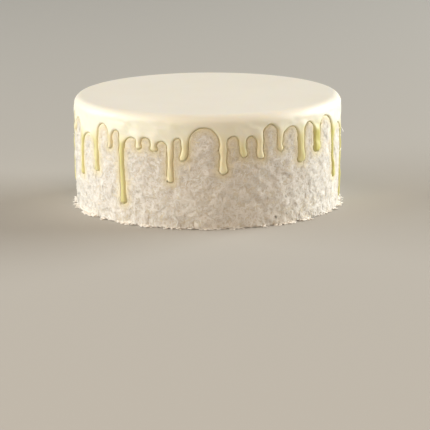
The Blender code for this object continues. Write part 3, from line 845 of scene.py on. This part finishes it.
# Each has its number, its lengths, widths and thicknesses in millimetres, its rings and its seed.
STRIP = (0.13, 0.25)
flat_chips = pressed_shreds("coconut_flat_chips", 12000, (1.2, 2.8), (1.0, 1.8), (0.1, 0.2), 2, 25)
long_shreds = pressed_shreds("coconut_long_shreds", 4500, (3.8, 8.0), (0.5, 1.1), STRIP, 4, 21)
short_shreds = pressed_shreds("coconut_short_shreds", 8200, (2.0, 4.5), (0.5, 1.1), STRIP, 3, 22)
fine_bits = pressed_shreds("coconut_fine_bits", 12000, (1.0, 2.4), (0.4, 1.0), STRIP, 2, 24)

# %% [markdown]
# ## What fell off
#
# Some coconut never sticks, and lies in a loose uneven fringe round the foot. These shreds lie flat, two
# or three deep against the cake and then singly, in drifts with gaps between.

# %% The fringe round the foot
DRIFT_CELL, DRIFT_SEED, STRAY_SHARE = 6 * MM, 31, 0.08
MEAN_GAP, NARROWEST, WIDER_IN_DRIFTS, LARGEST_GAP = 1.15, 0.2, 1.3, 4.5 * MM
# Lengths, widths and thicknesses in millimetres.
FALLEN_SIZES = ((1.4, 3.6), (0.8, 1.7), (0.4, 0.7))
FALLEN_BEND, FALLEN_TILT, FALLEN_RINGS = 0.1, 0.03, 3
LIFTS, HEAP_HEIGHT, HEAP_WIDTH = (0.25, 0.6), 2.4, 1.5 * MM
BESIDE_FOOT, LEAST_HEIGHT = 0.4 * MM, 0.02 * MM
PALEST_SHARE = 0.4


def fallen_shreds(count, seed):
    """Slivers lying on the floor, at a distance from the foot that falls off exponentially, in drifts."""
    chance = np.random.default_rng(seed)
    bearing = chance.uniform(0, 2 * math.pi, 3 * count)
    drift = 0.5 + 0.5 * lumps(bearing, 0 * bearing, DRIFT_CELL, DRIFT_SEED)
    likely = STRAY_SHARE + (1 - STRAY_SHARE) * drift**2
    keep = np.flatnonzero(chance.random(3 * count) < likely)[:count]
    bearing, drift = bearing[keep], drift[keep]
    count = len(keep)
    gap = chance.exponential(MEAN_GAP, count) * MM * (NARROWEST + WIDER_IN_DRIFTS * drift)
    gap = np.minimum(gap, LARGEST_GAP)
    length, width, thickness = (chance.uniform(*sizes, count) * MM for sizes in FALLEN_SIZES)
    lean = chance.uniform(0, math.pi, count)
    bend, tilt = (chance.normal(0, spread, count) for spread in (FALLEN_BEND, FALLEN_TILT))
    at_middle = np.zeros((count, 3))
    points = slivers(at_middle, lean, length, width, thickness, bend, tilt, FALLEN_RINGS, chance)
    foot = CORE_RADIUS - FOOT_TUCK + BESIDE_FOOT
    lift = chance.uniform(*LIFTS, count)
    lift = lift + HEAP_HEIGHT * chance.random(count) * drift * np.exp(-gap / HEAP_WIDTH)
    x = points[..., 0]
    y = points[..., 1] + (foot + gap)[:, None]
    z = np.maximum(points[..., 2] + lift[:, None] * MM, LEAST_HEIGHT)
    sin, cos = np.sin(bearing)[:, None], np.cos(bearing)[:, None]
    placed = np.stack([y * sin - x * cos, -y * cos - x * sin, z], axis=-1)
    quads, ends = sliver_faces(count, FALLEN_RINGS)
    tone = np.repeat((1 - PALEST_SHARE) + PALEST_SHARE * chance.random(count), points.shape[1])
    return piece("coconut_fallen_shreds", placed.reshape(-1, 3), quads, ends, smooth=False, tone=tone)


fallen = fallen_shreds(3200, 23)

# %% [markdown]
# ## Finishes
#
# All of it is pale food. Light enters the glaze and the cream, spreads and leaves a millimetre or two
# away, which is what makes them look like food and not like plaster. A shred is too thin for that, so the
# shading of the shreds was softened above instead.

# %% Helpers for materials
def linear(code):
    """A hex colour as Blender's linear red, green, blue and alpha."""
    srgb = [int(code[k : k + 2], 16) / 255 for k in (1, 3, 5)]
    return (*(c / 12.92 if c <= 0.04045 else ((c + 0.055) / 1.055) ** 2.4 for c in srgb), 1.0)


def add(tree, kind, inputs=None, **settings):
    """A node with its settings. An input is a value, or another node's output, which is linked."""
    node = tree.nodes.new(kind)
    for key, value in settings.items():
        setattr(node, key, value)
    for key, value in (inputs or {}).items():
        if isinstance(value, bpy.types.NodeSocket):
            tree.links.new(value, node.inputs[key])
        else:
            node.inputs[key].default_value = value
    return node


def finish_of(name):
    """A new material and its tree, with the Principled shader that Blender puts in it."""
    material = bpy.data.materials.new(name)
    material.use_nodes = True
    return material, material.node_tree, material.node_tree.nodes["Principled BSDF"]


def blend(tree, amount, low, high):
    """The colour between two others, at an amount from 0 to 1."""
    mix = add(tree, "ShaderNodeMix", {0: amount}, data_type="RGBA")
    for socket, value in ((mix.inputs[6], low), (mix.inputs[7], high)):
        if isinstance(value, bpy.types.NodeSocket):
            tree.links.new(value, socket)
        else:
            socket.default_value = value
    return mix.outputs[2]


def value_of(tree, name):
    """The value that the mesh keeps for each of its points under this name."""
    return add(tree, "ShaderNodeAttribute", attribute_name=name).outputs["Fac"]


def noise(tree, size, detail):
    """Cloudy noise with spots of this size in metres, fixed to the object."""
    place = add(tree, "ShaderNodeTexCoord").outputs["Object"]
    inputs = {"Vector": place, "Scale": 1 / size, "Detail": detail}
    return add(tree, "ShaderNodeTexNoise", inputs).outputs["Fac"]


def fine_relief(tree, shader, height, distance, strength):
    """Relief too low to be worth a mesh, which only turns the light."""
    bump = add(tree, "ShaderNodeBump", {"Height": height, "Distance": distance, "Strength": strength})
    tree.links.new(bump.outputs["Normal"], shader.inputs["Normal"])


def set_inputs(shader, values):
    """Even values, each on the shader's own socket."""
    for key, value in values.items():
        shader.inputs[key].default_value = value


# %% [markdown]
# ### Desiccated coconut
#
# White, dry and fibrous, so it is matte. No two shreds are quite the same white, and close to the glaze
# they have drawn some of it in, which makes them creamier. The grain of each shred is 0.6 mm and finer.

# %% Coconut
def coconut():
    """Matte white, from a warm to a clean one by each shred's tone."""
    material, tree, shader = finish_of("desiccated_coconut_grated")
    dry = blend(tree, value_of(tree, "tone"), linear("#EEE6DA"), linear("#F9F4EC"))
    colour = blend(tree, value_of(tree, "soaked"), dry, linear("#F6E9C9"))
    tree.links.new(colour, shader.inputs["Base Color"])
    fine_relief(tree, shader, noise(tree, 0.6 * MM, 3.0), 0.05 * MM, 0.25)
    set_inputs(shader, {"Roughness": 0.75, "IOR": 1.45, "Specular IOR Level": 0.2})
    return material


coconut_finish = coconut()

# %% [markdown]
# ### Cream under the coconut
#
# Buttercream shows only between the shreds. It is a touch yellower than they are, and more so beside the
# glaze. In the hollows of the coat it is painted darker, as painted shade.

# %% Cream
def cream():
    """Soft and dull, painted darker in the hollows as painted shade, so that the shreds on it look thick."""
    material, tree, shader = finish_of("buttercream_spread")
    # Painted shade: the cream is painted darker in the hollows.
    plain = blend(tree, value_of(tree, "hollow_shade"), linear("#F1E7D6"), linear("#E9DCC6"))
    colour = blend(tree, value_of(tree, "soaked"), plain, linear("#F2E2BC"))
    tree.links.new(colour, shader.inputs["Base Color"])
    fine_relief(tree, shader, noise(tree, 1.5 * MM, 4.0), 0.4 * MM, 0.8)
    set_inputs(shader, {"Roughness": 0.6, "IOR": 1.46, "Specular IOR Level": 0.2})
    set_inputs(shader, {"Subsurface Weight": 1.0, "Subsurface Scale": 2.5 * MM})
    set_inputs(shader, {"Subsurface Radius": (1.0, 0.9, 0.75)})
    return material


cream_finish = cream()

# %% [markdown]
# ### White glaze with lemon
#
# White chocolate, cream and lemon, poured warm. It sets to a satin skin with a broad soft highlight.
# Where it is a sheet on the cake it looks ivory; its level top is painted a little greyer and darker than
# its side, as painted shade. Where it has run over the coconut it is clearer, and its lemon yellow shows.
# On the shown side, runs that face the side lights are given more yellow, which is partly painted shade.
# The lip at the edge of an arch, where the sheet turns under, is painted darker and yellower, partly its
# own yellow and partly painted shade, and the flanks of a yellow run are painted paler, a painted highlight.

# %% Glaze
def glaze():
    """Ivory as a sheet, clearer and yellower in the runs, satin all over, with painted shade on the level top
    and at the lips, and a painted highlight on the runs' flanks.
    """
    material, tree, shader = finish_of("white_chocolate_glaze_poured")
    edge, lemon = value_of(tree, "edge"), value_of(tree, "lemon")
    cloud = noise(tree, 35 * MM, 2.0)
    # Painted shade: the level top is painted greyer and a little darker than the side.
    level = blend(tree, cloud, linear("#ECE8DD"), linear("#F1EEE5"))
    side = blend(tree, cloud, linear("#F7F1DA"), linear("#F8F3E4"))
    sheet = blend(tree, value_of(tree, "wall"), level, side)
    # Painted shade: the turned-under lip of an arch is painted darker, and yellower where the run is lemon.
    shaded_lip = blend(tree, lemon, linear("#EADFBC"), linear("#D2C98C"))
    turned = blend(tree, edge, sheet, shaded_lip)
    core = blend(tree, lemon, linear("#F7ECCC"), linear("#D2CB79"))
    # Painted highlight: the flanks of a lemon run are painted paler than its core.
    highlit_flank = blend(tree, lemon, linear("#F2E8CC"), linear("#E2DB9E"))
    run = blend(tree, edge, core, highlit_flank)
    colour = blend(tree, value_of(tree, "runoff"), turned, run)
    tree.links.new(colour, shader.inputs["Base Color"])
    skin_grain = noise(tree, 4 * MM, 3.0)
    rough = add(tree, "ShaderNodeMapRange", {"Value": skin_grain, "To Min": 0.38, "To Max": 0.48})
    tree.links.new(rough.outputs["Result"], shader.inputs["Roughness"])
    fine_relief(tree, shader, skin_grain, 0.05 * MM, 0.5)
    set_inputs(shader, {"IOR": 1.46, "Subsurface Weight": 0.5, "Subsurface Scale": 0.9 * MM})
    set_inputs(shader, {"Subsurface Radius": (1.0, 0.85, 0.6)})
    return material


glaze_finish = glaze()

# %% Dress the pieces
for obj in (coconut_ground, flat_chips, long_shreds, short_shreds, fine_bits, fallen):
    obj.data.materials.append(cream_finish if obj is coconut_ground else coconut_finish)
    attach(obj, "root")
poured_glaze.data.materials.append(glaze_finish)
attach(poured_glaze, "root")
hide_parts("cake_body")
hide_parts("glaze")

# %% [markdown]
# ## A plain studio
#
# A plain warm grey floor without a horizon, two big soft lights 3.2 m away beside the cake, of which the
# right one stands a little behind it, and a weaker warm one high in front. The side lights rake across
# the coconut, which is what makes its shreds stand out. The camera doesn't see the lights themselves.

# %% Floor
def floor():
    """A wide disc, level with the foot of the cake."""
    bm = bmesh.new()
    bmesh.ops.create_circle(bm, cap_ends=True, segments=96, radius=9.0)
    mesh = bpy.data.meshes.new("floor")
    bm.to_mesh(mesh)
    bm.free()
    obj = bpy.data.objects.new("floor", mesh)
    bpy.context.scene.collection.objects.link(obj)
    material, _, shader = finish_of("painted_studio_floor")
    set_inputs(shader, {"Base Color": linear("#B3B0AB"), "Roughness": 0.9, "Specular IOR Level": 0.1})
    mesh.materials.append(material)


floor()

# %% Lights
def soft_light(name, bearing, elevation, distance, width, height, power, colour):
    """A rectangular light that looks at the cake from a bearing and an elevation in degrees."""
    data = bpy.data.lights.new(name, "AREA")
    data.shape = "RECTANGLE"
    data.size, data.size_y = width, height
    data.energy = power
    data.color = linear(colour)[:3]
    obj = bpy.data.objects.new(name, data)
    bpy.context.scene.collection.objects.link(obj)
    aside = Matrix.Rotation(math.radians(bearing), 4, "Z")
    turn = aside @ Matrix.Rotation(math.radians(90 - elevation), 4, "X")
    middle = Matrix.Translation((0, 0, CAKE_HEIGHT / 2))
    obj.matrix_world = middle @ turn @ Matrix.Translation((0, 0, distance))
    obj.visible_camera = False


# Bearing and elevation in degrees, then distance, width and height in metres, power in watts and colour.
soft_light("left_softbox", -87, 18, 3.2, 4.0, 1.5, 126, "#FCFFFC")
soft_light("right_softbox", 110, 18, 3.2, 2.7, 1.8, 158, "#FCFFFC")
soft_light("front_fill", -10, 50, 2.2, 2.0, 1.6, 21, "#FFE1BE")

world = bpy.data.worlds.new("studio")
world.use_nodes = True
set_inputs(world.node_tree.nodes["Background"], {"Color": linear("#E8E4DE"), "Strength": 0.18})
bpy.context.scene.world = world
bpy.context.scene.view_settings.view_transform = "Standard"

# %% [markdown]
# ## The camera
#
# The shown view looks down by 11 degrees from 1.64 m, through a long lens. The cake sits left of the
# frame's middle and above it, so the camera is aimed below the cake and a little to its right.

# %% Camera
CAMERA_ELEVATION, CAMERA_DISTANCE = 11.0, 1.64
FRAME_PIXELS, FOCAL_PIXELS = 430, 2143
CAKE_PIXEL = (208.0, 146.3)
ROLL = 0.3


def camera():
    """Looks at the cake's middle, then turns so that this point falls on its pixel."""
    data = bpy.data.cameras.new("camera")
    data.sensor_width = 36
    data.lens = data.sensor_width * FOCAL_PIXELS / FRAME_PIXELS
    data.clip_start, data.clip_end = 0.05, 50
    obj = bpy.data.objects.new("camera", data)
    bpy.context.scene.collection.objects.link(obj)
    elevation = math.radians(CAMERA_ELEVATION)
    back = np.array([0, -math.cos(elevation), math.sin(elevation)])
    right = math.atan((FRAME_PIXELS / 2 - CAKE_PIXEL[0]) / FOCAL_PIXELS)
    down = math.atan((FRAME_PIXELS / 2 - CAKE_PIXEL[1]) / FOCAL_PIXELS)
    turn = (
        Matrix.Rotation(-right, 4, "Z")
        @ Matrix.Rotation(math.pi / 2 - elevation - down, 4, "X")
        @ Matrix.Rotation(math.radians(-ROLL), 4, "Z")
    )
    obj.matrix_world = Matrix.Translation([0, 0, CAKE_HEIGHT / 2] + CAMERA_DISTANCE * back) @ turn
    bpy.context.scene.camera = obj


camera()

# %% Finish
bpy.context.view_layer.update()
